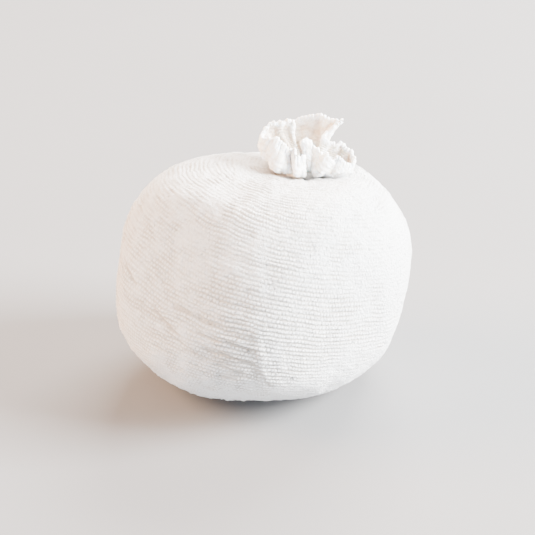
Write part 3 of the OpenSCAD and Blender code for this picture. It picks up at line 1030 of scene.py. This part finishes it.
def build_bottom_gather():
    h = np.linspace(STUB_AT, STUB_AT - STUB_LEN, STUB_ROWS)
    a = np.arange(GATHER_COLS) * 2 * math.pi / GATHER_COLS
    H, A = np.meshgrid(h, a, indexing="ij")
    r = np.interp(-H, [up - STUB_AT for up, _ in STUB_FORM], [STUB_R + more for _, more in STUB_FORM])
    open_ = ease(-H, -STUB_TIE + 0.9, -STUB_AT + STUB_LEN)
    r = r + (0.2 + 0.75 * open_) * np.cos(PLEATS * A + 0.5 * np.sin(2 * A))
    ob = gather_mesh("bottom_gather_cloth", h, neck_point(A, r, -H), 1.5)
    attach(ob, "root")
    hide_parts("bottom_gather")


def build_bottom_tie():
    b = np.linspace(0, 2 * 2 * math.pi, 200)
    h = -(STUB_TIE + PITCH * (0.5 - b / (4 * math.pi)))
    pts, faces = tube(neck_point(b, STUB_R + THREAD_D / 2 + 0.0 * b, h), THREAD_R, 12)
    ob = make_mesh("bottom_tie_thread", pts, faces)
    ob.data.materials.append(MAT_THREAD)
    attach(ob, "root")
    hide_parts("bottom_tie")


# The powder's surface: its points, the gap to the cloth, its floor, and its socket for the gather.
FILL_ROWS, FILL_COLS = 84, 120
FILL_GAP, FILL_FLOOR = 0.75, 1.0
SOCKET_R, SOCKET_TOP = 7.2, 23
SOCKET_END = STUB_AT - STUB_LEN - 0.9


def build_chalk_fill():
    """The powder: the pouch's own form a little smaller, with lumps and a socket for the gather."""
    cols = FILL_COLS
    a = np.arange(cols) * 2 * math.pi / cols
    t = np.linspace(T_MOUTH, math.radians(180) - math.asin(7.3 / 27), FILL_ROWS)
    T, A = np.meshgrid(t, a, indexing="ij")
    u = direction(T, A)
    rad = cloth_radius(T, A) - CLOTH_T - FILL_GAP + 0.35 * cloud(u * MEAN_R, 5, 101, 3)
    shell = CENTRE + rad[..., None] * u
    shell[..., 2] = np.maximum(shell[..., 2], FILL_FLOOR)

    def ring(r, h):
        return neck_point(a, np.full(cols, r), np.full(cols, h))

    lid = [ring(q, MOUTH_AT - 1.9 - 0.2 * q / 4) for q in (1.2, 3.0)]
    wall = [ring(SOCKET_R, -q) for q in np.linspace(SOCKET_TOP, SOCKET_END, 6)]
    end = [ring(q, -SOCKET_END) for q in (5.0, 2.5)]
    rings = np.concatenate([np.stack(lid), shell, np.stack(wall), np.stack(end)])
    m = len(rings)
    n = m * cols
    pts = [*rings.reshape(-1, 3), rings[0].mean(0), rings[-1].mean(0)]
    faces = grid_faces(m, cols) + fan(0, cols, n, flip=True) + fan(n - cols, cols, n + 1)
    ob = make_mesh("chalk_powder", pts, faces)
    ob.data.materials.append(MAT_CHALK)
    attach(ob, "root")
    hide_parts("chalk_fill")


build_bottom_gather()
build_bottom_tie()
build_chalk_fill()

# ---------------------------------------------------------------------------
# Floor, light and camera.
# ---------------------------------------------------------------------------
FLOOR_HALF = 3.0
SKY, SKY_STRENGTH = (0.86, 0.89, 1.0, 1), 1.4
# Each light: its name, where it is, how high over the table it aims, its size, watts and colour.
LIGHTS = [
    ("window", (0.95, -0.10, 0.50), 0.03, (0.55, 0.55), 195, (0.95, 0.98, 1.0)),
    ("window_back", (0.35, 0.85, 0.75), 0.03, (0.8, 0.5), 85, (1.0, 0.98, 0.95)),
    ("room", (-0.85, 0.05, 0.52), 0.03, (0.6, 0.6), 58, (1.0, 0.62, 0.36)),
    ("low_fill", (0.05, -0.90, 0.09), 0.02, (0.5, 0.12), 14, (0.76, 0.87, 1.0)),
]
# The camera: focal length and sensor in mm, distance in mm, and how far its aim lies right of
# and above the ball's centre.
LENS, SENSOR, DISTANCE = 162, 36, 600
AIM_RIGHT, AIM_UP = 1.0, 2.1


def build_stage():
    me = bpy.data.meshes.new("floor")
    s = FLOOR_HALF
    me.from_pydata([(-s, -s, 0), (s, -s, 0), (s, s, 0), (-s, s, 0)], [], [(0, 1, 2, 3)])
    me.materials.append(floor_material())
    ob = bpy.data.objects.new("floor", me)
    bpy.context.scene.collection.objects.link(ob)
    world = bpy.data.worlds.new("studio")
    bpy.context.scene.world = world
    world.use_nodes = True
    bg = world.node_tree.nodes["Background"]
    bg.inputs["Color"].default_value = SKY
    bg.inputs["Strength"].default_value = SKY_STRENGTH


def build_lights():
    for name, at, aim_height, size, power, color in LIGHTS:
        la = bpy.data.lights.new(name, "AREA")
        la.shape = "RECTANGLE"
        la.size, la.size_y = size
        la.energy = power
        la.color = color
        ob = bpy.data.objects.new(name, la)
        ob.location = at
        ob.rotation_mode = "QUATERNION"
        ob.rotation_quaternion = (Vector((0, 0, aim_height)) - Vector(at)).to_track_quat("-Z", "Y")
        bpy.context.scene.collection.objects.link(ob)


def build_camera():
    cam = bpy.data.cameras.new("camera")
    cam.lens = LENS
    cam.sensor_width = SENSOR
    cam.clip_start, cam.clip_end = 0.05, 20
    ob = bpy.data.objects.new("camera", cam)
    aim = CENTRE + AIM_RIGHT * np.array([1, 0, 0]) + AIM_UP * VIEW_UP
    ob.location = Vector(((aim + DISTANCE * VIEW_BACK) * MM).tolist())
    ob.rotation_mode = "QUATERNION"
    ob.rotation_quaternion = Vector((-VIEW_BACK).tolist()).to_track_quat("-Z", "Y")
    bpy.context.scene.collection.objects.link(ob)
    bpy.context.scene.camera = ob


build_stage()
build_lights()
build_camera()
